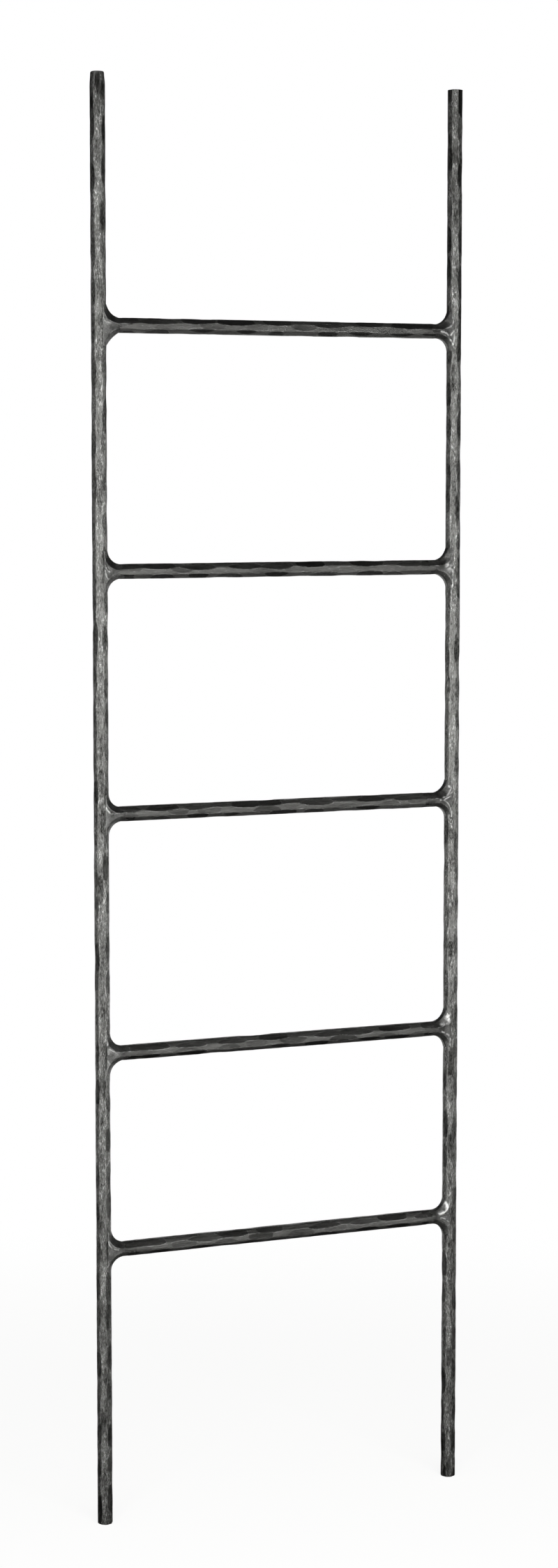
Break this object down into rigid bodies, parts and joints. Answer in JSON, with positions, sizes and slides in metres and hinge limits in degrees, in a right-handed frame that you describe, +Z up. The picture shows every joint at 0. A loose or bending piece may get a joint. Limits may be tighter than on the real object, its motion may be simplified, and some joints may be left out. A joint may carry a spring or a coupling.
{
  "type": "blanket ladder",
  "caption": "Leaning ladder of hand-forged iron bar with welded, flared rung ends, for hanging blankets and throws over its rungs.",
  "frame": {"origin": "on the floor, midway between the two stiles, on the centre of the bars' depth", "axes": "+Z up along the stiles, +X from the left stile to the right one, -Y out of the front; the ladder is drawn upright and leans back by its user's choice"},
  "size_m": [0.508, 0.0188, 1.8288],
  "materials": {
    "forged_iron": "hand-forged iron bar, blackened and waxed, raised faces rubbed back to pewter grey",
    "dressed_weld": "weld metal dressed to a smooth fillet, blackened and waxed with the bars"
  },
  "bodies": {
    "root": {"left_stile": "forged_iron", "right_stile": "forged_iron", "rung_1": "forged_iron", "rung_2": "forged_iron", "rung_3": "forged_iron", "rung_4": "forged_iron", "rung_5": "forged_iron", "weld_collar_1_left": "dressed_weld", "weld_collar_1_right": "dressed_weld", "weld_collar_2_left": "dressed_weld", "weld_collar_2_right": "dressed_weld", "weld_collar_3_left": "dressed_weld", "weld_collar_3_right": "dressed_weld", "weld_collar_4_left": "dressed_weld", "weld_collar_4_right": "dressed_weld", "weld_collar_5_left": "dressed_weld", "weld_collar_5_right": "dressed_weld"}
  },
  "joints": []
}
